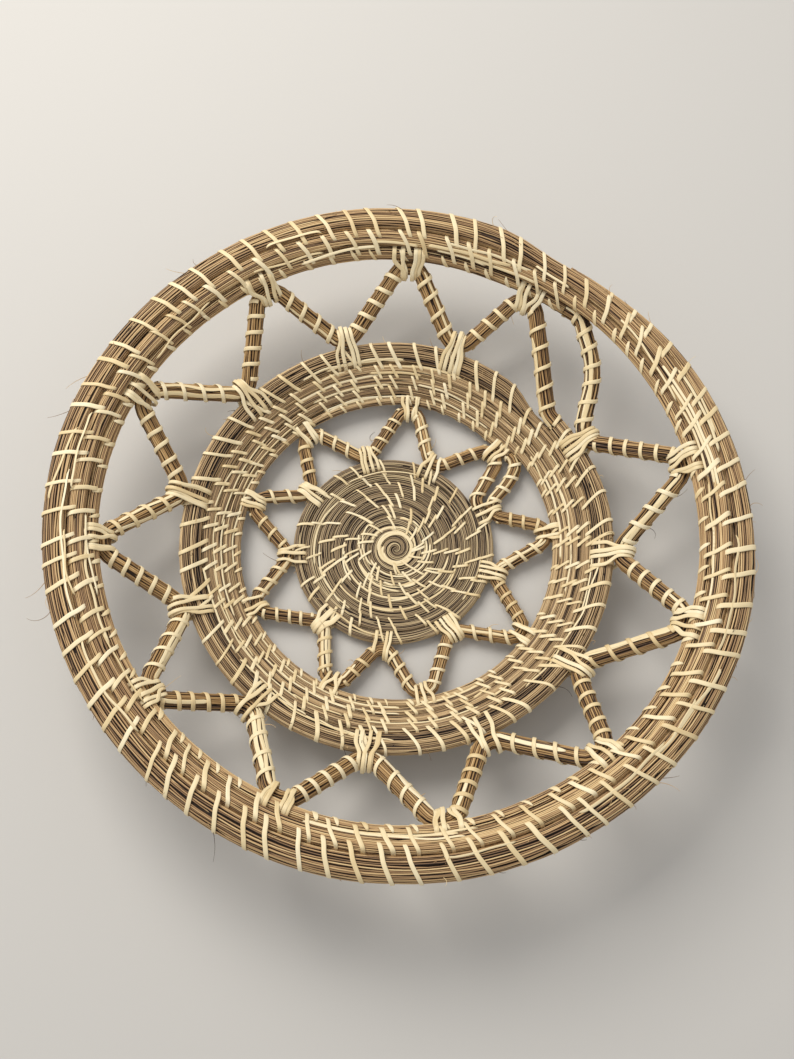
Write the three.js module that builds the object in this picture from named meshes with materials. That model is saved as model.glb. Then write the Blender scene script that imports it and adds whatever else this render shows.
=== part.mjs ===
// Round coiled basket: one bundle of dry grass wound from the centre of the base to the rim.
// Three sewn bands of side-by-side rows carry two rings of open zigzag, bent from the same
// bundle and lashed to the rows with pale leaf strips, and a strip binds the rim's last row.
// Millimetres and degrees, +Z up, the base on Z = 0 and the bowl's axis on the Z axis.

import * as THREE from 'three';

// Strips and the room they need
const rowGap = 1.25; // between neighbouring rows, where a strip passes
const stripThickness = 0.55;
const stripGap = 0.33; // from a strip to what it binds
const endGap = 0.3; // between the ends of two lengths of the bundle
const seatGap = 0.35; // from a bend to the row it is lashed to
const bindingGap = 0.4; // from the binding to the corners of its row
const lashingWidth = 5;
const bindingWidth = 2.5;

// Base: a flat spiral whose last row climbs off the floor, wider on one side
const baseRowRadius = 2.7;
const baseFirstRadius = 3.4;
const basePitch = 2 * baseRowRadius + rowGap;
const baseTurns = 7.65;
const baseEndAngle = 26;
const baseLift = 2.4;
const baseLiftTurns = 1.2;
const baseFlatShare = 0.1; // of a row's thickness, cut flat to stand on
const baseFacets = 30;
const baseBulge = 6.5; // how far the base is out of round
const baseBulgeAngle = 165;
const baseBulgeArc = 160; // over which it eases to nothing, on either side

// Inner openwork: a zigzag from the base's last row to the middle band
const innerRadius = 3.4;
const innerBend = 6.8;
const innerLead = 6.5; // straight length between a row's end and the first bend
const innerBandAngles = [45, 84, 127, 162, 204, 246, 280, 324, 365];
const innerBaseAngles = [67, 107, 146, 184, 227, 263, 303, 345, 382];
const innerSlopeAtBase = 5;
const innerSlopeAtBand = 12;

// Middle band: five rows, narrow where the next row covers them
const bandRowWidth = 5.05;
const bandLastWidth = 11.4;
const bandThickness = 7.6;
const bandRows = 5;
const bandFirstRadius = 92.2; // of the first row's centre, once it has settled
const bandFirstHeight = 8.7;
const bandFirstSlope = 34;
const bandLastSlope = 33;
const bandStartAngle = 40.5;
const bandEndAngle = 36;
const bandEndArc = 30; // over which the last row draws in to the thickness of the openwork
const bandWidenAngle = 6; // past the coil's end, which leaves its last turn bare
const bandFacets = 36;

// Outer openwork: a zigzag from the middle band's last row to the rim
const outerRadius = 4.4;
const outerBend = 8.6;
const outerLead = 9;
const outerRimAngles = [61, 87, 118, 152, 184, 216, 248, 279, 310, 340, 372];
const outerBandAngles = [73, 104, 135, 168, 200, 231, 263, 293, 323, 355, 388];
const outerSlopeAtBand = 32;
const outerSlopeAtRim = 50;

// Rim: three rows that roll outward, the last one wide, then thinning to its end
const rimRowGap = 1.6; // wider, for its rows come closer together on the hollow side
const rimRowWidth = 7.2;
const rimLastWidth = 12.2;
const rimThickness = 9.2;
const rimRows = 3;
const rimOuterRadius = 189.5; // of the last row's outside, once it has settled
const rimRowHeight = 64.7; // of the last row's centre there
const rimFirstSlope = 62;
const rimLastSlope = -12;
const rimStartAngle = 53;
const rimEndAngle = 56;
const rimEndArc = 80;
const rimEndShare = 0.4; // of the last row's width and thickness left at its end
const rimWidenAngle = 2;
const rimFacets = 45;
const rimBulge = 2.4;
const rimBulgeAngle = 328;
const rimBulgeArc = 60;
const rimFlat = 2.8;
const rimFlatAngle = 222;
const rimFlatArc = 65;
const bindingLoops = 76;
const bindingStartAngle = 66;
const bindingEndAngle = 53;

// Past a band's start each row makes most of its move outward, where the row before comes in
const settleArc = 50;
const settleShare = 0.65;
const settledLevel = settleShare + ((1 - settleShare) * settleArc) / 360;
const widenArc = 13; // over which a bare row grows to its full width

const rowSides = 6;
const rimSides = 8;
const bendSteps = 4;
const lashingSteps = 7; // on each half of the belt
const measureStep = 2; // between the points at which a gap is measured
const tangentSteps = 30; // halvings in the search for a tangent

const UP = new THREE.Vector3(0, 0, 1);
const toRadians = THREE.MathUtils.degToRad;

const grass = { base: 0x8a7358, inner: 0x7c6046, band: 0x80694f, outer: 0x86623c, rim: 0xa5835a };
const leafColor = 0xe8d6a4;

// Direction of the radius at an angle, and a point from its radius, height and angle.
function radial(angle) {
  return new THREE.Vector3(Math.cos(toRadians(angle)), Math.sin(toRadians(angle)), 0);
}

function onAxis([radius, height], angle) {
  return radial(angle).multiplyScalar(radius).setZ(height);
}

// A band's section is an arc whose slope changes evenly from the first row to the last. The
// distance along it starts at the first row's inner edge, and one place on it is known.
function bandProfile({ first, last, known }) {
  const turn = toRadians(last.slope - first.slope) / (last.distance - first.distance);
  const heading = toRadians(first.slope) - turn * first.distance;
  const along = (distance) => [
    (Math.sin(heading + turn * distance) - Math.sin(heading)) / turn,
    (Math.cos(heading) - Math.cos(heading + turn * distance)) / turn,
  ];
  const [knownRadius, knownHeight] = along(known.distance);
  return (distance) => {
    const [radius, height] = along(distance);
    return {
      place: [known.radius + radius - knownRadius, known.height + height - knownHeight],
      tilt: heading + turn * distance,
    };
  };
}

// Rows moved outward after a number of turns.
function levelAfter(turns) {
  const row = Math.floor(turns);
  const settled = THREE.MathUtils.smoothstep(turns - row, 0, settleArc / 360);
  return row + settleShare * settled + (1 - settleShare) * (turns - row);
}

// How far out of round a bulge makes a coil at an angle.
function bulgeAt(angle, by, bulgeAngle, arc) {
  const off = Math.abs(THREE.MathUtils.euclideanModulo(angle - bulgeAngle + 180, 360) - 180);
  return off < arc ? (by * (1 + Math.cos((Math.PI * off) / arc))) / 2 : 0;
}

// Winds a row line from one angle to another; each knot has its angle, its point and the half
// width, half thickness and tilt of its section.
function wind(startAngle, endAngle, facets, knotAt) {
  const step = 360 / facets;
  const line = [];
  for (let angle = startAngle; angle < endAngle - step / 4; angle += step) {
    line.push({ angle, ...knotAt(angle) });
  }
  line.push({ angle: endAngle, ...knotAt(endAngle) });
  return line;
}

// Winds a band: the inner edge of each row lies one pitch further out than that of the row
// before, so the last row can be wide where no other covers it.
function windBand({ start, end, facets, pitch, rowWidth, lastWidth, thickness, widenAngle }, profile, shape) {
  return wind(start, end, facets, (angle) => {
    const bare = THREE.MathUtils.smoothstep(angle - end + 360 - widenAngle, 0, widenArc);
    const half = THREE.MathUtils.lerp(rowWidth, lastWidth, bare) / 2;
    const { across, thick, bulge } = shape(angle, half, thickness / 2);
    const { place, tilt } = profile(pitch * levelAfter((angle - start) / 360) + across);
    return { point: onAxis([place[0] + bulge, place[1]], angle), across, thick, tilt };
  });
}

// Point and section of a wound line at an angle counted through all its turns.
function knotOn(line, angle) {
  const next = Math.max(line.findIndex((knot) => knot.angle >= angle), 1);
  const [knot, nextKnot] = [line[next - 1], line[next]];
  const share = (angle - knot.angle) / (nextKnot.angle - knot.angle);
  return {
    point: knot.point.clone().lerp(nextKnot.point, share),
    across: THREE.MathUtils.lerp(knot.across, nextKnot.across, share),
    thick: THREE.MathUtils.lerp(knot.thick, nextKnot.thick, share),
    tilt: THREE.MathUtils.lerp(knot.tilt, nextKnot.tilt, share),
  };
}

// Centre, heading and section of a wound line at an angle, taken over the width of a lashing.
function placeOn(line, angle) {
  const { point, ...section } = knotOn(line, angle);
  const reach = THREE.MathUtils.radToDeg(lashingWidth / 2 / Math.hypot(point.x, point.y));
  const before = knotOn(line, Math.max(angle - reach, line[0].angle)).point;
  const after = knotOn(line, Math.min(angle + reach, line[line.length - 1].angle)).point;
  const heading = after.clone().sub(before).normalize();
  return { center: before.lerp(after, 0.5).lerp(point, 0.5), heading, section };
}

// Where a wound line passes an angle, the first or the last time: its place in the bowl's
// section, its heading and its own section.
function passAt(line, angle, last) {
  const passes = last
    ? Math.floor((line[line.length - 1].angle - angle) / 360)
    : Math.ceil((line[0].angle - angle) / 360);
  const { center, heading, section } = placeOn(line, angle + 360 * passes);
  return { row: [Math.hypot(center.x, center.y), center.z], heading, section };
}

// How far an oval section reaches towards a facing, from its centre.
function ovalReach({ across, thick, tilt }, facing) {
  return Math.hypot(across * Math.cos(facing - tilt), thick * Math.sin(facing - tilt));
}

// Seat of a bend beside a row: away from the row's centre at a slope in the bowl's section.
function beside([radius, height], section, clearance, slope) {
  const distance = ovalReach(section, toRadians(slope)) + clearance;
  return [radius + distance * Math.cos(toRadians(slope)), height + distance * Math.sin(toRadians(slope))];
}

// Size and place of the rounded corner between two straight lengths.
function cornerBend(before, corner, after, bendRadius) {
  const back = before.clone().sub(corner).normalize();
  const forward = after.clone().sub(corner).normalize();
  const half = back.angleTo(forward) / 2;
  const inward = back.clone().add(forward).normalize();
  const across = forward.clone().sub(back).normalize();
  const center = corner.clone().addScaledVector(inward, bendRadius / Math.sin(half));
  const crown = center.clone().addScaledVector(inward, -bendRadius);
  return { center, crown, inward, across, sweep: Math.PI / 2 - half };
}

// Zigzag through bends whose crowns lie on their seats. A corner moved to seat its crown shifts
// the crowns beside it, so all are moved once for each seat; the first and last corners only
// round the way in and out.
function zigzag(start, wayIn, seats, wayOut, end, bendRadius) {
  const stops = [start, wayIn, ...seats.map((seat) => seat.clone()), wayOut, end];
  const bendAt = (i) => cornerBend(stops[i - 1], stops[i], stops[i + 1], bendRadius);
  seats.forEach(() => {
    seats.forEach((seat, i) => {
      const { crown } = bendAt(i + 2);
      stops[i + 2].add(seat).sub(crown);
    });
  });
  const points = [start];
  for (let i = 1; i < stops.length - 1; i += 1) {
    const bend = bendAt(i);
    for (let k = 0; k <= bendSteps; k += 1) {
      const turned = bend.sweep * ((2 * k) / bendSteps - 1);
      points.push(bend.center.clone()
        .addScaledVector(bend.inward, -bendRadius * Math.cos(turned))
        .addScaledVector(bend.across, bendRadius * Math.sin(turned)));
    }
  }
  points.push(end);
  return { points, bends: seats.map((_, i) => bendAt(i + 2)) };
}

// Skin over rings of points, closed on itself or capped at both ends.
function skin(rings, closed) {
  const sides = rings[0].length;
  const index = [];
  const spans = closed ? rings.length : rings.length - 1;
  for (let i = 0; i < spans; i += 1) {
    const here = i * sides;
    const there = ((i + 1) % rings.length) * sides;
    for (let j = 0; j < sides; j += 1) {
      const k = (j + 1) % sides;
      index.push(here + j, there + j, here + k, here + k, there + j, there + k);
    }
  }
  if (!closed) {
    const last = (rings.length - 1) * sides;
    for (let j = 1; j < sides - 1; j += 1) {
      index.push(0, j, j + 1, last, last + j + 1, last + j);
    }
  }
  const geometry = new THREE.BufferGeometry();
  geometry.setFromPoints(rings.flat());
  geometry.setIndex(index);
  geometry.computeVertexNormals();
  return geometry;
}

// Point on an oval section round a center, square to a heading.
function onOval(center, heading, { across, thick, tilt }, facing) {
  const outward = heading.clone().cross(UP).normalize();
  const upward = outward.clone().cross(heading);
  const [a, b] = [across * Math.cos(facing), thick * Math.sin(facing)];
  return center.clone()
    .addScaledVector(outward, a * Math.cos(tilt) - b * Math.sin(tilt))
    .addScaledVector(upward, a * Math.sin(tilt) + b * Math.cos(tilt));
}

// Faceted tube along a line of knots, cut flat where it would pass the floor.
function bundle(line, sides) {
  const firstSide = sides % 4 === 0 ? Math.PI / sides : 0;
  const rings = line.map(({ point, ...section }, i) => {
    const along = new THREE.Vector3();
    if (i > 0) along.add(point.clone().sub(line[i - 1].point).normalize());
    if (i < line.length - 1) along.add(line[i + 1].point.clone().sub(point).normalize());
    along.normalize();
    return Array.from({ length: sides }, (_, j) => {
      const corner = onOval(point, along, section, firstSide + (2 * Math.PI * j) / sides);
      return corner.setZ(Math.max(corner.z, 0));
    });
  });
  return skin(rings, false);
}

// Facing, turning one way from the bend, at which a row and the bend beside it reach alike.
function commonTangent(section, tubeRadius, away, apart, way) {
  let [near, far] = [0, Math.PI];
  for (let i = 0; i < tangentSteps; i += 1) {
    const turned = (near + far) / 2;
    const bendLeads = tubeRadius + apart * Math.cos(turned) > ovalReach(section, away + way * turned);
    if (bendLeads) near = turned;
    else far = turned;
  }
  return near;
}

// Strip lashed round a row and the bend seated beside it: a belt of flats that each touch the
// outline of both, as wide along the row as along the bend, and clear of the bend's two legs.
function lashing({ angle, row, heading, section, seat }, bend, tubeRadius, bendRadius) {
  const notch = bendRadius - tubeRadius;
  const slack = notch - Math.sqrt(notch ** 2 - (lashingWidth / 2 + stripGap) ** 2);
  const legs = onAxis(seat, angle).addScaledVector(bend.inward, slack);
  const out = radial(angle);
  const aside = radial(angle + 90);
  const legsOff = [legs.dot(out) - row[0], legs.z - row[1]];
  const away = Math.atan2(legsOff[1], legsOff[0]);
  const apart = Math.hypot(...legsOff);
  const above = commonTangent(section, tubeRadius, away, apart, 1);
  const below = commonTangent(section, tubeRadius, away, apart, -1);
  const flats = [];
  for (let k = 0; k < lashingSteps; k += 1) {
    flats.push({ facing: away - below + ((above + below) * k) / lashingSteps, onBend: true });
  }
  for (let k = 0; k < lashingSteps; k += 1) {
    const arc = 2 * Math.PI - above - below;
    flats.push({ facing: away + above + (arc * k) / lashingSteps, onBend: false });
  }
  const reachOf = ({ facing, onBend }) => (
    onBend ? tubeRadius + apart * Math.cos(facing - away) : ovalReach(section, facing)
  );
  const cornerAt = (flat, next, room) => {
    const turned = Math.sin(next.facing - flat.facing);
    const [reach, nextReach] = [reachOf(flat) + room, reachOf(next) + room];
    const across = (reach * Math.sin(next.facing) - nextReach * Math.sin(flat.facing)) / turned;
    const up = (nextReach * Math.cos(flat.facing) - reach * Math.cos(next.facing)) / turned;
    return out.clone().multiplyScalar(row[0] + across).setZ(row[1] + up);
  };
  const rings = flats.map((flat, k) => {
    const next = flats[(k + 1) % flats.length];
    const along = (flat.onBend ? bend.across : heading).clone().multiplyScalar(lashingWidth / 2);
    const shift = aside.clone().multiplyScalar(flat.onBend ? legs.dot(aside) : 0);
    const inside = cornerAt(flat, next, stripGap).add(shift);
    const outside = cornerAt(flat, next, stripGap + stripThickness).add(shift);
    return [
      inside.clone().add(along), outside.clone().add(along),
      outside.clone().sub(along), inside.clone().sub(along),
    ];
  });
  return skin(rings, true);
}

// Strip wound round a row, bent at each corner of the row's section.
function binding(line, fromAngle, toAngle, loops, sides) {
  const bends = loops * sides;
  const room = bindingGap / Math.cos(Math.PI / sides);
  const rings = [];
  const route = [];
  for (let k = 0; k <= bends; k += 1) {
    const { center, heading, section } = placeOn(line, fromAngle + ((toAngle - fromAngle) * k) / bends);
    const facing = Math.PI / sides - (2 * Math.PI * k) / sides;
    const sideways = heading.clone().multiplyScalar(bindingWidth / 2);
    const [inside, outside] = [room, room + stripThickness].map((off) => {
      const around = { ...section, across: section.across + off, thick: section.thick + off };
      return onOval(center, heading, around, facing);
    });
    rings.push([
      inside.clone().sub(sideways), outside.clone().sub(sideways),
      outside.clone().add(sideways), inside.clone().add(sideways),
    ]);
    const half = bindingWidth / 2;
    route.push({ point: inside.lerp(outside, 0.5), across: half, thick: half, tilt: 0 });
  }
  return { geometry: skin(rings, false), route };
}

// Least clear space between passes of one line, measured between its points.
function leastSelfGap(line) {
  const spread = [];
  for (let i = 1; i < line.length; i += 1) {
    const [before, after] = [line[i - 1], line[i]];
    const parts = Math.ceil(before.point.distanceTo(after.point) / measureStep);
    for (let k = 0; k < parts; k += 1) {
      spread.push({ ...before, point: before.point.clone().lerp(after.point, k / parts) });
    }
  }
  const widest = Math.max(...line.map((knot) => Math.max(knot.across, knot.thick)));
  const apart = Math.ceil((2 * Math.PI * widest) / measureStep);
  let least = Infinity;
  for (let i = 0; i < spread.length; i += 1) {
    const here = spread[i];
    for (let k = i + apart; k < spread.length; k += 1) {
      const there = spread[k];
      const distance = here.point.distanceTo(there.point);
      if (distance - 2 * widest < least) {
        const out = Math.hypot(there.point.x, there.point.y) - Math.hypot(here.point.x, here.point.y);
        const facing = Math.atan2(there.point.z - here.point.z, out);
        least = Math.min(least, distance - ovalReach(here, facing) - ovalReach(there, facing));
      }
    }
  }
  return least;
}

const basket = new THREE.Group();

function addPiece(name, geometry, color) {
  const material = new THREE.MeshStandardMaterial({ color, roughness: 0.8, metalness: 0 });
  const mesh = new THREE.Mesh(geometry, material);
  mesh.name = name;
  basket.add(mesh);
}

function printSelfGap(name, line) {
  console.log(`${name}: least gap to itself ${leastSelfGap(line).toFixed(2)} mm`);
}

function addBundle(name, line, sides, color) {
  printSelfGap(name, line);
  addPiece(name, bundle(line, sides), color);
}

// Unit direction in which a line starts or ends.
function headingAt(line, atEnd) {
  const [from, to] = atEnd ? line.slice(-2) : line.slice(0, 2);
  return to.point.clone().sub(from.point).normalize();
}

// Base coil
const baseStartAngle = baseEndAngle - 360 * baseTurns;
const baseCenterHeight = (1 - 2 * baseFlatShare) * baseRowRadius;
const baseLine = wind(baseStartAngle, baseEndAngle, baseFacets, (angle) => {
  const turns = (angle - baseStartAngle) / 360;
  const climbed = THREE.MathUtils.smoothstep(turns, baseTurns - 1 - baseLiftTurns, baseTurns - 1);
  const bulge = bulgeAt(angle, baseBulge, baseBulgeAngle, baseBulgeArc) * (turns / baseTurns);
  const place = [baseFirstRadius + basePitch * turns + bulge, baseCenterHeight + baseLift * climbed];
  return { point: onAxis(place, angle), across: baseRowRadius, thick: baseRowRadius, tilt: 0 };
});
addBundle('base_coil', baseLine, rowSides, grass.base);

// Middle band coil
const bandPitch = bandRowWidth + rowGap;
const bandFirst = { slope: bandFirstSlope, distance: bandPitch * settledLevel + bandRowWidth / 2 };
const bandProfileAt = bandProfile({
  first: bandFirst,
  last: { slope: bandLastSlope, distance: bandPitch * (bandRows - 1 + settledLevel) + bandLastWidth / 2 },
  known: { distance: bandFirst.distance, radius: bandFirstRadius, height: bandFirstHeight },
});
const bandEnd = bandEndAngle + 360 * bandRows;
const bandLine = windBand({
  start: bandStartAngle,
  end: bandEnd,
  facets: bandFacets,
  pitch: bandPitch,
  rowWidth: bandRowWidth,
  lastWidth: bandLastWidth,
  thickness: bandThickness,
  widenAngle: bandWidenAngle,
}, bandProfileAt, (angle, across, thick) => {
  const { lerp, smoothstep } = THREE.MathUtils;
  const drawn = smoothstep(angle, bandEnd - bandEndArc, bandEnd);
  return { across: lerp(across, outerRadius, drawn), thick: lerp(thick, outerRadius, drawn), bulge: 0 };
});
addBundle('middle_band_coil', bandLine, rowSides, grass.band);

// Rim coil
const rimPitch = rimRowWidth + rimRowGap;
const rimLast = {
  slope: rimLastSlope,
  distance: rimPitch * (rimRows - 1 + settledLevel) + rimLastWidth / 2,
};
const rimProfileAt = bandProfile({
  first: { slope: rimFirstSlope, distance: rimPitch * settledLevel + rimRowWidth / 2 },
  last: rimLast,
  known: {
    distance: rimLast.distance,
    radius: rimOuterRadius - stripThickness - bindingGap - ovalReach({
      across: rimLastWidth / 2, thick: rimThickness / 2, tilt: toRadians(rimLastSlope),
    }, 0),
    height: rimRowHeight,
  },
});
const rimEnd = rimEndAngle + 360 * rimRows;
const rimLine = windBand({
  start: rimStartAngle,
  end: rimEnd,
  facets: rimFacets,
  pitch: rimPitch,
  rowWidth: rimRowWidth,
  lastWidth: rimLastWidth,
  thickness: rimThickness,
  widenAngle: rimWidenAngle,
}, rimProfileAt, (angle, across, thick) => {
  const left = 1 - (1 - rimEndShare) * THREE.MathUtils.smoothstep(angle, rimEnd - rimEndArc, rimEnd);
  const bulge = bulgeAt(angle, rimBulge, rimBulgeAngle, rimBulgeArc)
    - bulgeAt(angle, rimFlat, rimFlatAngle, rimFlatArc);
  return { across: across * left, thick: thick * left, bulge };
});
addBundle('rim_coil', rimLine, rimSides, grass.rim);

// Binding of the rim's last row
const bindingStart = bindingStartAngle + 360 * (rimRows - 1);
const bindingEnd = bindingEndAngle + 360 * rimRows;
const rimBinding = binding(rimLine, bindingStart, bindingEnd, bindingLoops, rimSides);
printSelfGap('rim_binding', rimBinding.route);
addPiece('rim_binding', rimBinding.geometry, leafColor);

// Seats of the bends on one side of a zigzag, each beside the nearest row at its angle.
function seatsAlong(name, angles, { line, lastPass }, tubeRadius, slope) {
  return angles.map((angle, i) => {
    const { row, heading, section } = passAt(line, angle, lastPass);
    const seat = beside(row, section, seatGap + tubeRadius, slope);
    return { name: `${name}_${String(i + 1).padStart(2, '0')}`, angle, row, heading, section, seat };
  });
}

// Zigzag between two wound lines, with its lashings. It goes on from the end of the one line,
// meets its seats in the order of their angles and leads into the start of the other line.
function addOpenwork(name, from, to, unorderedSeats, tubeRadius, bendRadius, lead, color) {
  const seats = unorderedSeats.toSorted((a, b) => a.angle - b.angle);
  const out = headingAt(from, true);
  const into = headingAt(to, false);
  const fromEnd = from[from.length - 1];
  const toStart = to[0];
  const start = fromEnd.point.clone().addScaledVector(out, endGap);
  const end = toStart.point.clone().addScaledVector(into, -endGap);
  const wayIn = start.clone().addScaledVector(out, lead);
  const wayOut = end.clone().addScaledVector(into, -lead);
  const places = seats.map(({ seat, angle }) => onAxis(seat, angle));
  const { points, bends } = zigzag(start, wayIn, places, wayOut, end, bendRadius);
  const line = points.map((point) => ({ point, across: tubeRadius, thick: tubeRadius, tilt: 0 }));
  line[0] = { ...fromEnd, point: start };
  line[line.length - 1] = { ...toStart, point: end };
  addBundle(name, line, rowSides, color);
  seats.forEach((seat, i) => {
    addPiece(seat.name, lashing(seat, bends[i], tubeRadius, bendRadius), leafColor);
  });
}

const baseEdge = { line: baseLine, lastPass: true };
const bandInnerEdge = { line: bandLine, lastPass: false };
addOpenwork('inner_openwork', baseLine, bandLine, [
  ...seatsAlong('base_lashing', innerBaseAngles, baseEdge, innerRadius, innerSlopeAtBase),
  ...seatsAlong('band_inner_lashing', innerBandAngles, bandInnerEdge, innerRadius, 180 + innerSlopeAtBand),
], innerRadius, innerBend, innerLead, grass.inner);

const bandOuterEdge = { line: bandLine, lastPass: true };
const rimInnerEdge = { line: rimLine, lastPass: false };
addOpenwork('outer_openwork', bandLine, rimLine, [
  ...seatsAlong('band_outer_lashing', outerBandAngles, bandOuterEdge, outerRadius, outerSlopeAtBand),
  ...seatsAlong('rim_lashing', outerRimAngles, rimInnerEdge, outerRadius, 180 + outerSlopeAtRim),
], outerRadius, outerBend, outerLead, grass.outer);

export default basket;
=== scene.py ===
import bpy
import numpy as np
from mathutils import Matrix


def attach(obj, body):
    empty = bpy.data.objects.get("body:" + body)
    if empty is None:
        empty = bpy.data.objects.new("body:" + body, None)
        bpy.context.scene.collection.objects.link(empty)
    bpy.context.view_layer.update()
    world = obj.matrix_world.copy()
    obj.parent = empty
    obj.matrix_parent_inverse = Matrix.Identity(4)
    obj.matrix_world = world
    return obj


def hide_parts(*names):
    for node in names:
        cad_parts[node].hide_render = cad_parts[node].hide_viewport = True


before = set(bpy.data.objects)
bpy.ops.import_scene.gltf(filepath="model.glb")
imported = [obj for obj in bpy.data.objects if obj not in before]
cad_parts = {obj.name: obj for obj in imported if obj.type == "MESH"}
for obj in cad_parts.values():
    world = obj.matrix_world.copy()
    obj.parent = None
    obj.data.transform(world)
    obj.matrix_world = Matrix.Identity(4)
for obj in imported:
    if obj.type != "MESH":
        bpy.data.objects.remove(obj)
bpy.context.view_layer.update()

print("frame loaded")


# Small helpers

def linear(hexColour):
    # sRGB hex to linear red, green, blue: below 0.04045 a share of 12.92, above it a power of 2.4
    srgb = np.array([int(hexColour[i:i + 2], 16) for i in (1, 3, 5)]) / 255
    low, high = srgb / 12.92, ((srgb + 0.055) / 1.055) ** 2.4
    return (*np.where(srgb <= 0.04045, low, high), 1.0)


def smooth(x, low, high):
    # 0 below low, 1 above high, a cubic ease between
    t = np.clip((x - low) / (high - low), 0, 1)
    return t * t * (3 - 2 * t)


def unit(v):
    return v / np.maximum(np.linalg.norm(v, axis=-1, keepdims=True), 1e-9)


def runAlong(points):
    # distance run along each line of points, 0 at its first
    steps = np.linalg.norm(np.diff(points, axis=-2), axis=-1)
    return np.concatenate([0 * steps[..., :1], np.cumsum(steps, -1)], -1)


def readAt(x, known, table):
    # each column of a table, given at known lengths, read at others
    return np.stack([np.interp(x, known, column) for column in table.T], -1)


def polar(reach, facing):
    return reach * np.cos(facing), reach * np.sin(facing)


def curveThrough(points, count):
    # Catmull-Rom curve through a table of points, sampled evenly in its parameter
    points = np.asarray(points, float)
    t = np.linspace(0, len(points) - 1, count)
    i = np.minimum(t.astype(int), len(points) - 2)
    f = (t - i)[:, None]
    p0, p1 = points[np.maximum(i - 1, 0)], points[i]
    p2, p3 = points[i + 1], points[np.minimum(i + 2, len(points) - 1)]
    return 0.5 * (2 * p1 + (p2 - p0) * f + (2 * p0 - 5 * p1 + 4 * p2 - p3) * f ** 2
                  + (3 * p1 - p0 - 3 * p2 + p3) * f ** 3)


def slowNoise(rng, count, length, wave):
    # rows of smooth noise, mostly from -1 to 1: four sine waves each, of lengths about one wave
    scale = 2 * np.pi / wave * rng.uniform(0.5, 1.6, (count, 4, 1))
    phase = rng.uniform(0, 2 * np.pi, (count, 4, 1))
    return np.sin(length[None, None] * scale + phase).sum(1) / 2.6


# Meshes: rings of points skinned into closed strips and stems, millimetres in, metres out

# lowest heights: of lines that strips and stems follow, of loose fibres and of any point, because
# the table presses the strips under the base flat
lowest = {"line": 0.3, "fibre": 0.1, "point": 0.02}


def addObject(name, data):
    made = bpy.data.objects.new(name, data)
    bpy.context.scene.collection.objects.link(made)
    return made


def putMesh(name, groups, material, slot, replaced=()):
    points, uvs, tones, quads, caps, offset = [], [], [], [], [], 0
    for rings, along, across, toneAndShade in groups:
        count, steps, sides, _ = rings.shape
        ids = offset + np.arange(count * steps * sides).reshape(count, steps, sides)
        here, there = ids[:, :-1], ids[:, 1:]
        quads.append(np.stack([here, np.roll(here, -1, 2), np.roll(there, -1, 2), there], -1)
                     .reshape(-1, 4))
        caps += ids[:, 0, ::-1].tolist() + ids[:, -1].tolist()
        points.append(np.maximum(rings.reshape(-1, 3), [-np.inf, -np.inf, lowest["point"]]))
        flat = np.broadcast_arrays(along, across, toneAndShade, rings[..., 0])
        uvs.append(np.stack([flat[0].ravel(), flat[1].ravel()], -1))
        tones.append(flat[2].ravel())
        offset += rings[..., 0].size
    mesh = bpy.data.meshes.new(name)
    mesh.from_pydata(np.concatenate(points) / 1000, [], np.concatenate(quads).tolist() + caps)
    corner = np.empty(len(mesh.loops), np.int32)
    mesh.loops.foreach_get("vertex_index", corner)
    mesh.uv_layers.new(name="UVMap").data.foreach_set("uv", np.concatenate(uvs)[corner].ravel())
    mesh.attributes.new("toneAndShade", "FLOAT", "POINT").data.foreach_set(
        "value", np.concatenate(tones).astype(np.float32))
    mesh.polygons.foreach_set("use_smooth", np.ones(len(mesh.polygons), bool))
    mesh.materials.append(material)
    mesh.update()
    piece = addObject(name, mesh)
    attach(piece, "root")
    if replaced:
        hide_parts(*replaced)
    print(f"{name}: {2 * sum(len(q) for q in quads)} triangles")


def addNode(material, kind, links=None, **settings):
    # one node with its settings; links maps an input's name or number to another node's output
    tree = material.node_tree
    node = tree.nodes.new("ShaderNode" + kind)
    for key, value in settings.items():
        if hasattr(node, key):
            setattr(node, key, value)
        else:
            node.inputs[key.replace("_", " ")].default_value = value
    for key, output in (links or {}).items():
        tree.links.new(output, node.inputs[key])
    return node


# Materials

def newMaterial(name, **settings):
    material = bpy.data.materials.new(name)
    material.use_nodes = True
    shader = material.node_tree.nodes["Principled BSDF"]
    for key, value in settings.items():
        shader.inputs[key.replace("_", " ")].default_value = value
    return material, shader


def colourBy(material, shader, factor, stops):
    # base colour from a ramp of places and hex colours
    ramp = addNode(material, "ValToRGB", {"Fac": factor.outputs[0]})
    elements = ramp.color_ramp.elements
    while len(elements) < len(stops):
        elements.new(0.5)
    for element, (at, colour) in zip(elements, stops):
        element.position, element.color = at, linear(colour)
    material.node_tree.links.new(ramp.outputs[0], shader.inputs["Base Color"])


grassColoursAndShade = {
    # painted shade on a stem's sides turned to its neighbours, darkest stem, usual stem, pale stem, palest
    # stem
    "rim": ["#2c1d13", "#7b5c3e", "#ba966a", "#dab985", "#f1d8a6"],
    "band": ["#291d14", "#6f563e", "#aa8c64", "#ccad80", "#e6cd9f"],
    "base": ["#2a2018", "#7c6750", "#a8916f", "#c2ab84", "#d9c59c"],
    "strut": ["#2a1b12", "#6c4e33", "#a3804f", "#c39f6d", "#dfbd89"],
}


# Dried grass stems: thin waxy straws in browns, each of its own colour with pale streaks about
# 11 mm long and ridges about 2 mm long, so that a row reads as many parallel stems
grassValues = {"stops": (0.0, 0.22, 0.48, 0.74, 0.98), "streaks": (0.09, 2.5, 1), "swing": 0.4,
               "ridges": (0.5, 9.0, 1), "bump": 0.25, "rough": 0.55, "shine": 0.4}
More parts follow.
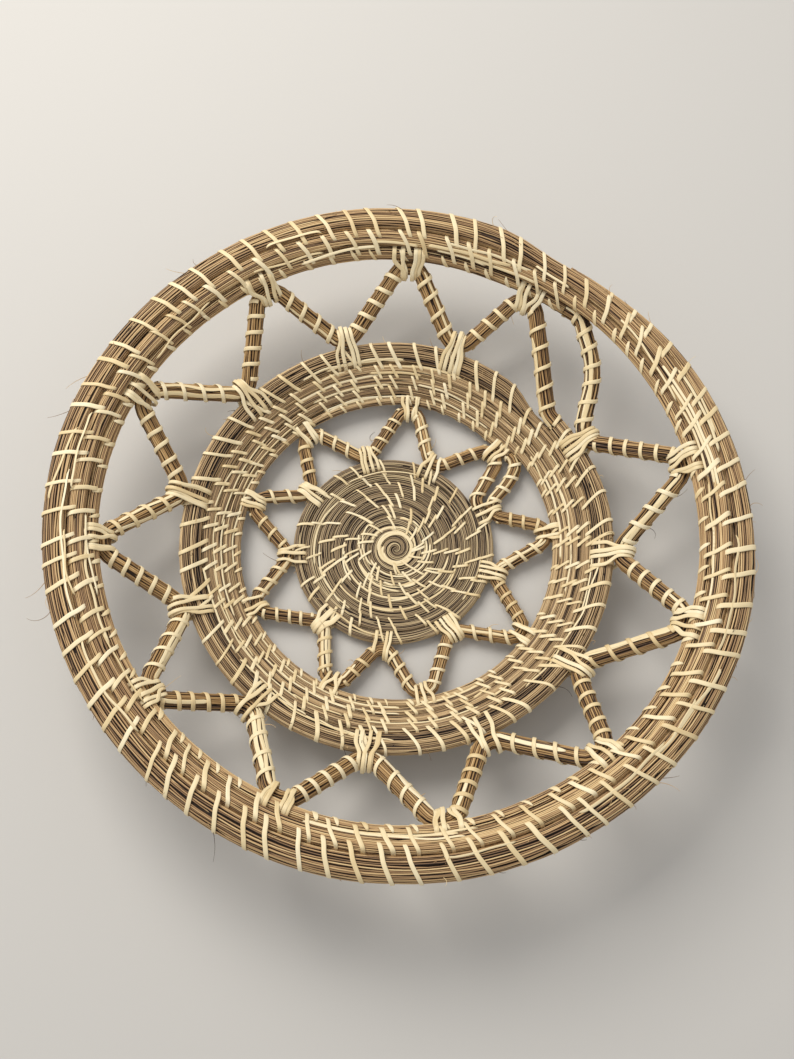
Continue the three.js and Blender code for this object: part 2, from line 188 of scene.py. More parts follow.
# Split palm leaf: cream, smooth and slightly glossy, browner where it was handled, with fibres a
# third of a millimetre wide, drawn coarse, that catch the light
leafValues = {"stops": (0.0, 0.4, 0.75, 1.0), "streaks": (0.12, 7.0, 1), "swing": 0.6,
              "bump": 0.3, "rough": 0.48, "shine": 0.45}


def fibrous(name, colours, values):
    # colours from dark to pale by the piece's own tone, with the painted shade on the sides of stems where
    # there is any, and by streaks along it, and fine ridges
    material, shader = newMaterial(name, Roughness=values["rough"], Specular_IOR_Level=values["shine"])
    toneAndShade = addNode(material, "Attribute", attribute_name="toneAndShade")
    uv = addNode(material, "UVMap", uv_map="UVMap")

    def drawnOut(scale, detail):
        drawn = addNode(material, "Mapping", {"Vector": uv.outputs["UV"]}, Scale=scale)
        return addNode(material, "TexNoise", {"Vector": drawn.outputs[0]}, Scale=1.0, Detail=detail)

    streaks = drawnOut(values["streaks"], 3.0)
    shade = addNode(material, "Math", {0: streaks.outputs[0]}, operation="MULTIPLY_ADD")
    shade.inputs[1].default_value, shade.inputs[2].default_value = values["swing"], -values["swing"] / 2
    together = addNode(material, "Math", {0: toneAndShade.outputs["Fac"], 1: shade.outputs[0]}, operation="ADD")
    colourBy(material, shader, together, list(zip(values["stops"], colours)))
    ridges = drawnOut(values["ridges"], 2.0) if "ridges" in values else streaks
    bump = addNode(material, "Bump", {"Height": ridges.outputs[0]},
                   Strength=values["bump"], Distance=0.0003)
    material.node_tree.links.new(bump.outputs[0], shader.inputs["Normal"])
    return material


def paintedShadeHeart(name):
    # The inside of a bundle, seen only between stems: painted shade, a deep brown and dull filling that
    # stands in for the shadow between the stems
    material, shader = newMaterial(name, Roughness=0.9)
    speck = addNode(material, "TexCoord")
    noise = addNode(material, "TexNoise", {"Vector": speck.outputs["Object"]},
                    Scale=900.0, Detail=2.0)  # specks of about a millimetre
    colourBy(material, shader, noise, [(0.35, "#20150d"), (0.7, "#392818")])
    return material


grass = {part: fibrous(f"dryGrass_{part}", colours, grassValues)
         for part, colours in grassColoursAndShade.items()}
stripLeaf = fibrous("palmLeafStrip", ["#c9a974", "#e9d2a2", "#f6e5bd", "#fcf2d6"], leafValues)
# a dark filling for the bundles: painted shade seen between the stems
shadeHeart = paintedShadeHeart("bundleShadeHeart")
print("materials made")


# Rows: each coil's line through the bowl, the same as the solids follow, in millimetres and degrees

settle = {"arc": 50, "share": 0.65}  # a row makes most of its move outward over this arc, once a turn
# the first turn has no row inward of it, up to these degrees, and the last none outward of it, after
# bareArc; its stems stand out by spareBare there
covered = {"from": 350, "to": 362, "bareArc": 13, "spareBare": 0.25}
outlinePower = {"flush": 3.2, "rounder": 0.9}  # of a row's section: less by the second where bare


def levelAfter(turns):
    # rows moved outward after a number of turns
    row = np.floor(turns)
    settled = smooth((turns - row) * 360, 0, settle["arc"])
    return row + settle["share"] * settled + (1 - settle["share"]) * (turns - row)


def bandProfile(coil):
    # a band's section is an arc: radius, height and slope at a distance from its inner edge
    (slopeFirst, first), (slopeLast, last) = coil["slopes"]
    turn = np.radians(slopeLast - slopeFirst) / (last - first)
    heading = np.radians(slopeFirst) - turn * first

    def arc(distance):
        return np.stack([(np.sin(heading + turn * distance) - np.sin(heading)) / turn,
                         (np.cos(heading) - np.cos(heading + turn * distance)) / turn])

    known = arc(coil["known"][0])

    def profile(distance):
        radius, height = arc(distance)
        return (coil["known"][1] + radius - known[0], coil["known"][2] + height - known[1],
                heading + turn * distance)
    return profile


baseCoil = {
    "pitch": 6.65, "turns": 7.65, "endAngle": 26, "firstRadius": 3.4, "swirl": 0.9,
    "height": 2.16, "lift": 2.4, "liftFrom": 5.45, "liftTo": 6.65,
    "rowWidth": 5.4, "thickness": 5.4, "bulges": [(6.5, 165, 160)], "spare": (0.76, 0.0),
}
baseCoil["startAngle"] = baseCoil["endAngle"] - 360 * baseCoil["turns"]


def baseProfile(radius):
    # a flat spiral that climbs over its last rows
    level = (radius - baseCoil["firstRadius"]) / baseCoil["pitch"]
    t = np.clip((level - baseCoil["liftFrom"]) / (baseCoil["liftTo"] - baseCoil["liftFrom"]), 0, 1)
    climb = 6 * t * (1 - t) * baseCoil["lift"] / (baseCoil["liftTo"] - baseCoil["liftFrom"])
    height = baseCoil["height"] + baseCoil["lift"] * t * t * (3 - 2 * t)
    return radius, height, np.arctan2(climb, baseCoil["pitch"])


# slopes and the distances where they hold; a known distance with its radius and height
bandCoil = {
    "pitch": 6.3, "startAngle": 40.5, "endAngle": 36 + 5 * 360,
    "slopes": ((34, 6.926), (33, 35.3)), "known": (6.926, 92.2, 8.7),
    "rowWidth": 5.05, "lastWidth": 11.4, "thickness": 7.6, "widenAngle": 6, "widenArc": 13,
    "endArc": 30, "endHalf": (4.4, 4.4), "startHalf": (3.4, 3.4), "bulges": [], "spare": (0.72, 0.3),
}
rimCoil = {
    "pitch": 8.8, "startAngle": 53, "endAngle": 56 + 3 * 360,
    "slopes": ((62, 9.748), (-12, 29.848)), "known": (29.848, 182.51, 64.7),
    "rowWidth": 7.2, "lastWidth": 12.2, "thickness": 9.2, "widenAngle": 2, "widenArc": 13,
    "endArc": 80, "endHalf": (2.44, 1.84), "startHalf": (4.1, 4.1), "lastDraw": (30, 0.85),
    "bulges": [(2.4, 328, 60), (-2.8, 222, 65)], "spare": (0.92, 0.35),
}
baseCoil["profile"], bandCoil["profile"] = baseProfile, bandProfile(bandCoil)
rimCoil["profile"] = bandProfile(rimCoil)


def rowHalves(coil, angle):
    # half width and half thickness of the row at an angle counted through all turns
    angle = np.asarray(angle, float)
    wide, thick = coil["rowWidth"] / 2 + 0 * angle, coil["thickness"] / 2 + 0 * angle
    if "swirl" in coil:
        opened = np.clip(1 + 0.7 * (angle - coil["startAngle"]) / 360, 0, 1)
        return wide * opened, thick * opened
    bare = smooth(angle - coil["endAngle"] + 360 - coil["widenAngle"], 0, coil["widenArc"])
    wide = wide + (coil["lastWidth"] - coil["rowWidth"]) / 2 * bare
    drawn = smooth(angle, coil["endAngle"] - coil["endArc"], coil["endAngle"])
    wide, thick = (v + (end - v) * drawn for v, end in zip((wide, thick), coil["endHalf"]))
    if "lastDraw" in coil:
        arc, drawn = coil["lastDraw"]
        left = 1 - drawn * smooth(angle, coil["endAngle"] - arc, coil["endAngle"])
        wide, thick = wide * left, thick * left
    return wide, thick


def rowMiddle(coil, angle):
    # distance of the row's middle along the band's section
    turns = (np.asarray(angle, float) - coil["startAngle"]) / 360
    if "swirl" in coil:
        return coil["firstRadius"] + np.where(turns < 0, coil["firstRadius"], coil["pitch"]) * turns
    return coil["pitch"] * levelAfter(turns) + rowHalves(coil, angle)[0]


def bulgeShape(coil, angle):
    # raised cosines about each bulge's angle
    total = 0 * np.asarray(angle, float)
    for by, at, arc in coil["bulges"]:
        away = np.abs((angle - at + 180) % 360 - 180)
        total = total + np.where(away < arc, by * (1 + np.cos(np.pi * away / arc)) / 2, 0)
    return total


def bulgeAt(coil, angle):
    # how far the coil is out of round at an angle: the base more with every turn
    if "swirl" in coil:
        return bulgeShape(coil, angle) * np.clip((angle - coil["startAngle"]) / 360 / coil["turns"], 0, 1)
    return bulgeShape(coil, angle)


def bareSides(coil, angle):
    # how far a row is without a neighbour: inward on the first turn, outward on the last
    return (1 - smooth(angle - coil["startAngle"], covered["from"], covered["to"]),
            smooth(angle - coil["endAngle"] + 360, 0, covered["bareArc"]))


def dressed(coil, angle):
    # half widths inward and outward and half height of the row as its stems fill it: up to its
    # neighbours, a little proud where it is bare, and narrower where the openwork joins
    angle = np.asarray(angle, float)
    wide, high = rowHalves(coil, angle)
    beside, above = coil["spare"]
    first, bare = bareSides(coil, angle)
    inward, outward = (wide + beside + (covered["spareBare"] - beside) * v for v in (first, bare))
    if "swirl" in coil:
        apart = bulgeShape(coil, angle) / coil["turns"] / 2
        return wide + beside + apart, outward + apart * (1 - bare), high + above
    begun = smooth(angle, coil["startAngle"], coil["startAngle"] + 16)
    return tuple(small + (v - small) * begun for v, small in
                 zip((inward, outward, high + above), coil["startHalf"][:1] + coil["startHalf"]))


def place(coil, angle, back=0.0, across=0.0, up=0.0):
    # point at a row, some rows further in, moved across and up in millimetres from the rows'
    # slope, swung round the bowl's axis
    angle, back, across, up = np.broadcast_arrays(*(np.asarray(v, float) for v in (angle, back, across, up)))
    distance = rowMiddle(coil, angle)
    if np.any(back):
        distance = (1 - back) * distance + back * rowMiddle(coil, angle - 360)
    radius, height, slope = coil["profile"](distance)
    radius = radius + bulgeAt(coil, angle) + across * np.cos(slope) - up * np.sin(slope)
    height = np.maximum(height + across * np.sin(slope) + up * np.cos(slope), lowest["line"])
    return np.stack([*polar(radius, np.radians(angle)), height], -1)


def measured(coil, angle, back, across, up):
    # shares of the row's halves turned to millimetres
    halves, before = dressed(coil, angle), dressed(coil, angle - 360)
    inward, outward, high = ((1 - back) * here + back * there for here, there in zip(halves, before))
    return across * np.where(across > 0, outward, inward), up * high


def shares(coil, angle, back, across, up):
    return place(coil, angle, back, *measured(coil, angle, back, across, up))


def rowRadius(coil, angle):
    return coil["profile"](rowMiddle(coil, angle))[0] + bulgeAt(coil, np.asarray(angle, float))


def knots(coil, stride, turnsLeast=18):
    # angles along the coil, a stride apart and at least so many to a turn
    fine = np.linspace(coil["startAngle"] - 360 * coil.get("swirl", 0), coil["endAngle"], 6000)
    speed = np.maximum(np.radians(1) * rowRadius(coil, fine) / stride, turnsLeast / 360)
    run = np.concatenate([[0], np.cumsum(speed[1:] * np.diff(fine))])
    return np.interp(np.linspace(0, run[-1], int(run[-1])), run, fine)


def sectionEdge(coil, facing, angle):
    # distance from a row's middle to its outline: flush with its neighbours, round where it is bare
    inward, outward, high = dressed(coil, angle)
    c, s = np.cos(facing), np.sin(facing)
    first, bare = bareSides(coil, angle)
    power = outlinePower["flush"] - outlinePower["rounder"] * np.where(c > 0, bare, first)
    wide = np.where(c > 0, outward, inward)
    return (np.abs(c / wide) ** power + np.abs(s / high) ** power) ** (-1 / power)


# Stems

def stemRuns(rng, count, length, shortest=110, longest=290):
    # each place in the bundle holds a chain of stems: which stem it is at each length, and how
    # near it is to an end
    cuts = np.cumsum(rng.uniform(shortest, longest, (count, int(length[-1] / shortest) + 2)), 1)
    cuts -= rng.uniform(0, longest, (count, 1))
    which = (length[None, None] > cuts[:, :, None]).sum(1)
    near = np.abs(length[None, None] - cuts[:, :, None]).min(1)
    return which, np.exp(-(near / 3.5) ** 2)


# tones added to the five corners of each stem, the first at its crown: painted light and shade, a little
# lighter at the crown and darker on the sides and back turned to the next stems
stemToneAndShade = {"least": 0.16, "spread": 0.8, "corners": np.array([0.1, -0.4, -0.9, -0.9, -0.4])}


def bundleSection(rng, length, values, edge, thin=1.0):
    # places of a bundle's stems in its section, their radii, turns and the tones of their corners:
    # the sides turned to the next stem are painted darker, as painted shade between the stems
    count = values["stems"]
    which, ends = stemRuns(rng, count, length)
    spacing = 2 * np.pi / count
    around = (np.arange(count)[:, None] * spacing + values.get("lay", 0) * length[None]
              + spacing * values["wander"] * slowNoise(rng, count, length, 90))
    size = values["stemRadius"] * thin * rng.uniform(0.78, 1.18, (count, 1))
    size = size * (1 + 0.08 * slowNoise(rng, count, length, 40)) * (1 - 0.7 * ends)
    deep = values["uneven"] * slowNoise(rng, count, length, 55) - 0.9 * ends
    tones = stemToneAndShade["least"] + stemToneAndShade["spread"] * rng.beta(2.0, 1.8, (count, which.max() + 1))
    # each corner's tone is the stem's own tone plus the painted shade of that corner
    toneAndShade = np.take_along_axis(tones, which, 1)[..., None] + stemToneAndShade["corners"]
    facing, reach = edge(around)
    reach = reach - size + deep
    return *polar(reach, facing), size, toneAndShade, facing


def putStems(name, placed, length, section, *rest):
    # five corners to each stem's own section, the first turned out of the bundle
    across, up, size, toneAndShade, facing = section
    aside, rise = polar(size[..., None], facing[..., None] - 2 * np.pi * np.arange(5) / 5)
    rings = placed(across[..., None] + aside, up[..., None] + rise)
    around = np.arange(5) / 5 + np.arange(len(rings))[:, None, None] * 3.7  # no two with like streaks
    putMesh(name, [(rings, length[None, :, None], around, toneAndShade)], *rest)


def coilStems(name, coil, values, seed, material, slot, replaced):
    rng = np.random.default_rng(seed)
    angle = knots(coil, values["stride"])
    length = runAlong(place(coil, angle))
    inward, outward, high = dressed(coil, angle)
    wide = (inward + outward) / 2

    def edge(around):
        # evenly spaced round an oval of the row's width and height
        facing = np.arctan2(high * np.sin(around), wide * np.cos(around))
        return facing, sectionEdge(coil, facing, angle[None])

    thin = np.sqrt(np.clip((wide + high) / values["fullAt"], 0.04, 1.2))
    across, up, size, toneAndShade, facing = bundleSection(rng, length, values, edge, thin)
    sway = values["sway"] * slowNoise(rng, 2, length, 120)
    section = across + sway[0], up + sway[1] * 0.5, size, toneAndShade, facing
    putStems(name, lambda across, up: place(coil, angle[None, :, None], 0, across, up), length, section,
             material, slot, replaced)


def coilShadeHeart(name, coil, share, slot):
    # the filling of a row, a little smaller than its outline, painted dark as the shade seen between its
    # stems
    angle = knots(coil, 6.0)
    facing = np.pi - 2 * np.pi * np.arange(10) / 10
    reach = sectionEdge(coil, facing, angle[:, None]) - share
    rings = place(coil, angle[None, :, None], 0, *polar(reach, facing))
    putMesh(name, [(rings, 0.0, 0.0, 0.5)], shadeHeart, slot)


# fullAt: half width plus half height of a row at which its stems have their full radius
baseStemValues = {"stems": 24, "stemRadius": 0.385, "fullAt": 6.2, "stride": 3.0,
                  "wander": 0.35, "uneven": 0.14, "sway": 0.2}
bandStemValues = {"stems": 32, "stemRadius": 0.47, "fullAt": 10.0, "stride": 6.0,
                  "wander": 0.35, "uneven": 0.14, "sway": 0.25}
rimStemValues = {"stems": 34, "stemRadius": 0.53, "fullAt": 11.2, "stride": 6.2,
                 "wander": 0.35, "uneven": 0.16, "sway": 0.25}

coilStems("baseShadeStems", baseCoil, baseStemValues, 11, grass["base"], "base_grass", ["base_coil"])
coilStems("bandShadeStems", bandCoil, bandStemValues, 12, grass["band"], "band_grass", ["middle_band_coil"])
coilStems("rimShadeStems", rimCoil, rimStemValues, 13, grass["rim"], "rim_grass", ["rim_coil"])
# dark fillings inside the rows: painted shade seen between the stems
coilShadeHeart("baseShadeHeart", baseCoil, 0.6, "base_grass")
coilShadeHeart("bandShadeHeart", bandCoil, 0.75, "band_grass")
coilShadeHeart("rimShadeHeart", rimCoil, 0.85, "rim_grass")


# Strips: flat ribbons of leaf with crisp edges

stripSection = np.array([(0.5, 0.0), (0.46, 0.3), (0.3, 0.44), (-0.3, 0.44), (-0.46, 0.3),
                         (-0.5, 0.0), (0.0, -0.3)])


def stripGroup(rng, path, along, width, thickness):
    # Many strips, each with its lengthwise and crosswise coordinates and its tone. A strip's width
    # lies towards `along`, square to the path, and its crown faces path direction times width
    # direction.
    ahead = unit(np.gradient(path, axis=-2))
    wide = unit(along - (along * ahead).sum(-1, keepdims=True) * ahead)
    high = np.cross(ahead, wide)
    x, y = stripSection.T
    width = np.broadcast_to(width, path.shape[:-1])
    rings = (path[..., None, :] + wide[..., None, :] * (x * width[..., None])[..., None]
             + high[..., None, :] * (y * thickness)[:, None])
    many = (len(path), 1, 1)
    run = runAlong(path)[..., None] + rng.uniform(0, 200, many)
    toneAndShade = 0.25 + 0.6 * rng.beta(2.5, 2, many)
    return rings, run, x + 0.5 + rng.uniform(0, 40, many), toneAndShade


def pointedWidth(width, count, share=0.12):
    # full width but for a taper at both ends
    t = np.linspace(0, 1, count)
    return width[:, None] * (0.45 + 0.55 * smooth(np.minimum(t, 1 - t), 0, share))


# Stitches. A stitch goes from a foot in the row before, over the seam and the row, round its
# outer side and back below. The tables give rows back, place across and height over, as shares
# of the row's half width and half height.
stitchBack = [(0, -0.3, -1.07), (0, -0.85, -1.03), (1, 0.6, -1.05), (1, 0.3, -1.0), (1, 0.2, -0.5)]
openStitch = [(1, -0.3, 0.5), (1, -0.15, 0.93), (1, 0.3, 1.05), (1, 0.75, 1.02), (0, -0.9, 0.98),
              (0, -0.55, 1.06), (0, 0.05, 1.07), (0, 0.5, 1.02), (0, 0.84, 0.76), (0, 1.04, 0.34),
              (0, 1.07, 0.0), (0, 1.02, -0.4), (0, 0.8, -0.8), (0, 0.35, -1.04), *stitchBack]
hiddenStitch = [(1, -0.1, 0.5), (1, 0.05, 0.93), (1, 0.4, 1.05), (1, 0.75, 1.02), (0, -0.9, 0.98),
                (0, -0.55, 1.06), (0, 0.0, 1.07), (0, 0.5, 1.05), (0, 0.84, 0.97), (0, 0.98, 0.62),
                (0, 1.0, 0.0), (0, 0.98, -0.62), (0, 0.84, -0.97), (0, 0.4, -1.05), *stitchBack]
firstStitch = [(0, 0.9, -0.5), (0, 0.7, -0.98), (0, 0.0, -1.07), (0, -0.6, -1.0), (0, -0.97, -0.55),
               (0, -1.1, 0.0), (0, -0.97, 0.55), (0, -0.6, 1.0), (0, 0.0, 1.07), (0, 0.6, 1.05),
               (0, 0.9, 0.7)]


def stitchPaths(rng, coil, angle, table, values, count):
    # A stitch follows the table through the section and drifts along the row, by the slant
    # times the distance inward from the row's outer side, and on the underside the other way. On
    # the open last row the slant grows inward, by a power that changes round the bowl.
    shape = curveThrough(table, count)
    back, across, up = shape[:, 0], shape[:, 1], shape[:, 2]
    at, azimuth = angle[:, None], angle[:, None] % 360
    inward = back * (rowMiddle(coil, at) - rowMiddle(coil, at - 360)) + dressed(coil, at)[1]
    inward = inward - measured(coil, at, back, across, up)[0]
    if "footLeast" in values:
        foot = np.interp(at - coil["startAngle"], *values["footLeast"])
        across = np.where(back > 0.5, np.maximum(across, foot), across)
    slant = values["openSlant"] if table is openStitch else values["slant"]
    slant = slant * np.interp(azimuth, *values["slantTurn"]) * rng.uniform(0.75, 1.25, (len(angle), 1))
    if table is openStitch:
        ease = np.interp(azimuth, *values["openEase"])
        slant = slant * np.clip(inward / values["openReach"], 0, 1.1) ** ease
    drift = np.where(up > 0, -inward * slant, inward * values["underSlant"])
    drift = drift * smooth(inward, -0.5, 2.0)
    reachShort = 1 - 0.1 * rng.random((len(angle), 1)) * np.clip(back, 0, 1)
    turned = at + np.degrees(drift / rowRadius(coil, at))
    path = shares(coil, turned, back * reachShort, across, up)
    for _ in range(values["eased"]):  # a strip is too stiff to follow each dip between rows
        path[:, 1:-1] = (path[:, :-2] + 2 * path[:, 1:-1] + path[:, 2:]) / 4
    after, before = (shares(coil, turned + step, back, across, up) for step in (0.2, -0.2))
    return path, unit(after - before)


def evenAngles(rng, start, end, perTurn, jitter):
    # stitch places: the same share of a turn on every row, each a little off
    angle = np.arange(np.ceil(start * perTurn / 360), np.floor(end * perTurn / 360) + 1) * 360 / perTurn
    same = np.random.default_rng(perTurn).normal(0, jitter, perTurn)
    own = rng.normal(0, jitter * 0.7, len(angle))
    return angle + (same[np.round(angle * perTurn / 360).astype(int) % perTurn] + own) * 360 / perTurn


def sewCoil(name, coil, values, seed, replaced):
    rng = np.random.default_rng(seed)
    first, last = coil["startAngle"], coil["endAngle"]
    angle = np.concatenate([evenAngles(rng, start, end, perTurn, values["jitter"])
                            for start, end, perTurn in values["runs"]])
    isOpen = angle > last - 358 + values["openFrom"]
    groups = []
    for chosen, table in ((angle[isOpen], openStitch), (angle[~isOpen], hiddenStitch)):
        path, along = stitchPaths(rng, coil, chosen, table, values, values["steps"])
        row = np.clip((chosen - first) / (last - first), 0, 1)
        width = rng.normal(1, 0.1, len(chosen)) * np.interp(row, (0, 1), values["widths"])
        groups.append(stripGroup(rng, path, along, pointedWidth(width, values["steps"]), values["thickness"]))
    if values.get("firstRow"):
        chosen = evenAngles(rng, first + 0.5, first + 362, values["firstRow"], values["jitter"])
        path, along = stitchPaths(rng, coil, chosen, firstStitch, values, 20)
        width = rng.normal(values["widths"][0], 0.1 * values["widths"][0], len(chosen))
        groups.append(stripGroup(rng, path, along, pointedWidth(width, 20), values["thickness"]))
    putMesh(name, groups, stripLeaf, "leaf_strip", replaced)


# runs of stitches: start and end angle and how many to a turn; slants and eases by angle
rimStitchValues = {
    "runs": [(53 + 362, 56 + 1072, 76)], "firstRow": 76, "openFrom": 4, "jitter": 0.08,
    "widths": (2.2, 2.35), "thickness": 0.6, "steps": 34, "eased": 3,
    "slant": 0.5, "openSlant": 0.4, "underSlant": 0.31, "openReach": 19,
    "openEase": ((0, 45, 90, 150, 195, 240, 270, 330, 360),
                 (0.35, 0.2, 0.1, 0.7, 1.2, 0.4, 0.1, 0.25, 0.35)),
    "slantTurn": ((0, 27, 50, 90, 150, 178, 200, 230, 270, 330, 360),
                  (1.1, 1.5, 1.3, 1.0, 0.7, 0.65, 1.0, 1.15, 1.05, 1.0, 1.1)),
}
bandStitchValues = {
    "runs": [(40.5 + 362, 36 + 1797, 55)], "firstRow": 55, "openFrom": 6, "jitter": 0.09,
    "widths": (1.6, 2.0), "thickness": 0.5, "steps": 32, "eased": 2,
    "slant": 0.45, "openSlant": 0.45, "underSlant": 0.3, "openReach": 17,
    "openEase": ((0, 360), (0.2, 0.2)),
    "slantTurn": ((0, 120, 165, 190, 215, 360), (1.0, 1.0, 1.0, 1.3, 1.15, 1.0)),
}
# the base's rows in turn, a few more stitches on each: degrees from the base's start, first beyond
# the bare swirl; footLeast keeps the feet off the swirl
baseFirst = baseCoil["startAngle"]
baseRows = [baseFirst + degrees for degrees in (440, *range(722, 2163, 360), 2750)]
baseStitchValues = {
    "runs": list(zip(baseRows, baseRows[1:], (14, 16, 18, 20, 21, 22))), "openFrom": 0, "jitter": 0.19,
    "widths": (1.3, 1.5), "thickness": 0.5, "steps": 28, "eased": 1,
    "slant": 0.42, "openSlant": 0.42, "underSlant": 0.3, "openReach": 12,
    "openEase": ((0, 360), (0, 0)), "footLeast": ((450, 640, 2000), (0.9, 0.35, 0.2)),
    "slantTurn": ((0, 160, 215, 325, 360), (1.0, 0.8, 0.9, 0.9, 1.0)),
}

sewCoil("rimStitches", rimCoil, rimStitchValues, 21, ["rim_binding"])
sewCoil("bandStitches", bandCoil, bandStitchValues, 22, [])
sewCoil("baseStitches", baseCoil, baseStitchValues, 23, [])


# Tails: the strips' ends, laid lengthwise along the seams and held under the stitches

def layTails(name, coil, tails, seed):
    # tails: start and end angle on the coil, places across in shares of the row's half width at
    # both ends, width
    rng = np.random.default_rng(seed)
    start, end, first, last, width = np.array(tails).T
    share = np.linspace(0, 1, 26)
    angle = start[:, None] + (end - start)[:, None] * share
    length = (end - start) * np.radians(1) * rowRadius(coil, (start + end) / 2)
    wave = np.stack([slowNoise(rng, 1, share * l, 40)[0] for l in length])
    tuck = smooth(np.minimum(share, 1 - share), 0, 0.06)
    across = first[:, None] + (last - first)[:, None] * share + wave * 0.12
    # on the rows' round top, and in the seams on their shoulders
    power = outlinePower["flush"]
    top = (1 - np.clip(np.abs(across), 0, 1) ** power) ** (1 / power)
    up = np.maximum(top, 0.84) + 0.04 - 0.3 * (1 - tuck)
    path = shares(coil, angle, 0 * across, across, up)
    outer = shares(coil, angle, 0 * across, across + 0.1, up)
    group = stripGroup(rng, path, -unit(outer - path), pointedWidth(width, 26, 0.05), 0.5)
    putMesh(name, [group], stripLeaf, "leaf_strip")


def someTails(rng, coil, values):
    # random tails near the seams of a coil, a few crossing from one side of a row to the other
    count = values["count"]
    start = rng.uniform(coil["startAngle"] + 365, coil["endAngle"] - 30, count)
    length = rng.uniform(*values["lengths"], count)
    end = np.minimum(start + np.degrees(length / rowRadius(coil, start)), coil["endAngle"] - 6)
    first = rng.normal(-0.95, 0.3, count)
    last = first + rng.normal(0, 0.45, count)
    return np.stack([start, end, first, last, rng.uniform(*values["widths"], count)], 1)


rng = np.random.default_rng(31)
tailValues = {
    "rim": {"count": 22, "lengths": (22, 60), "widths": (1.0, 1.8)},
    "band": {"count": 46, "lengths": (20, 70), "widths": (0.8, 1.6)},
    "base": {"count": 24, "lengths": (18, 60), "widths": (0.7, 1.2)},
}
lastRim, middleRim = 720, 360  # degrees to the last and to the middle row
rimTails = [[row + a, row + b, *rest] for row, a, b, *rest in (
    (lastRim, 5, 27, -0.1, -0.6, 1.6), (lastRim, 4, 31, 0.3, -0.25, 1.5),
    (lastRim, 7, 22, -0.75, -0.95, 1.3), (middleRim, 66, 84, 0.2, -0.6, 1.9),
    (middleRim, 62, 80, 0.75, 0.3, 1.5), (middleRim, 60, 76, -0.3, -0.9, 1.6),
    (lastRim, 172, 199, -0.95, -1.0, 1.3), (middleRim, 182, 206, -0.9, -1.05, 1.4),
    (lastRim, 203, 222, -0.9, -1.1, 1.4), (lastRim, 300, 318, -1.0, -0.9, 1.6),
    (middleRim, 262, 284, -0.95, -1.0, 1.3), (lastRim, 335, 356, -0.95, -1.05, 1.4),
    (middleRim, 340, 359, -0.95, -1.0, 1.2))]
rimTails = np.concatenate([rimTails, someTails(rng, rimCoil, tailValues["rim"])])
layTails("rimTails", rimCoil, rimTails, 32)
layTails("bandTails", bandCoil, someTails(rng, bandCoil, tailValues["band"]), 33)
# counted from the start of the base; the last two make a ring of strip round the bare swirl
baseTails = [[baseFirst + a, baseFirst + b, *rest] for a, b, *rest in (
    (375, 560, -0.95, -0.95, 1.5), (590, 730, -0.95, -0.95, 1.6), (880, 1010, -0.95, -0.95, 1.3),
    (1130, 1260, -0.95, -0.95, 1.4), (1480, 1640, -0.95, -0.95, 1.3), (1890, 2010, -0.95, -0.95, 1.2),
    (150, 462, 0.8, -0.93, 1.6), (205, 400, 0.72, -0.4, 1.2))]
baseTails = np.concatenate([baseTails, someTails(rng, baseCoil, tailValues["base"])])
layTails("baseTails", baseCoil, baseTails, 34)


# Openwork: the bundle bent to and fro between two bands, with the same bends as the solids

def cornerBend(before, corner, after, bendRadius):
    # arc of nine points that rounds the corner between two straight lengths
    back, forward = unit(before - corner), unit(after - corner)
    half = np.arccos(np.clip(back @ forward, -1, 1)) / 2
    inward, across = unit(back + forward), unit(forward - back)
    centre = corner + inward * bendRadius / np.sin(half)
    t = (np.pi / 2 - half) * np.linspace(-1, 1, 9)[:, None]
    arc = centre - bendRadius * np.cos(t) * inward + bendRadius * np.sin(t) * across
    return {"crown": centre - inward * bendRadius, "inward": inward, "arc": arc}


def zigzagLine(start, wayIn, seats, wayOut, end, bendRadius):
    # corners moved until every crown is at its seat, then straight lengths and arcs
    stops = [start, wayIn, *(seat.copy() for seat in seats), wayOut, end]
    for _ in seats:
        for i, seat in enumerate(seats):
            bend = cornerBend(*stops[i + 1:i + 4], bendRadius)
            stops[i + 2] = stops[i + 2] + seat - bend["crown"]
    bends = [cornerBend(*stops[i - 1:i + 2], bendRadius) for i in range(1, len(stops) - 1)]
    line = np.concatenate([[start], *(bend["arc"] for bend in bends), [end]])
    length = runAlong(line)
    crowns = length[5 + 9 * np.arange(len(bends))]
    return line, length, crowns, bends[1:-1]


innerWork = {
    "radius": 3.4, "bend": 6.8, "halfWidth": 3.55, "slope": 12, "lead": 6.5,
    "bow": 2.0, "out": [67, 107, 146, 184, 227, 263, 303, 345, 382], "outSlope": 5,
    "home": [45, 84, 127, 162, 204, 246, 280, 324, 365], "homeSlope": 192,
}
outerWork = {
    "radius": 4.4, "bend": 8.6, "halfWidth": 4.55, "slope": 36, "lead": 9,
    "bow": 6.5, "out": [73, 104, 135, 168, 200, 231, 263, 293, 323, 355, 388], "outSlope": 32,
    "home": [61, 87, 118, 152, 184, 216, 248, 279, 310, 340, 372], "homeSlope": 230,
}
fit = {"seatGap": 0.35, "endGap": 0.3}


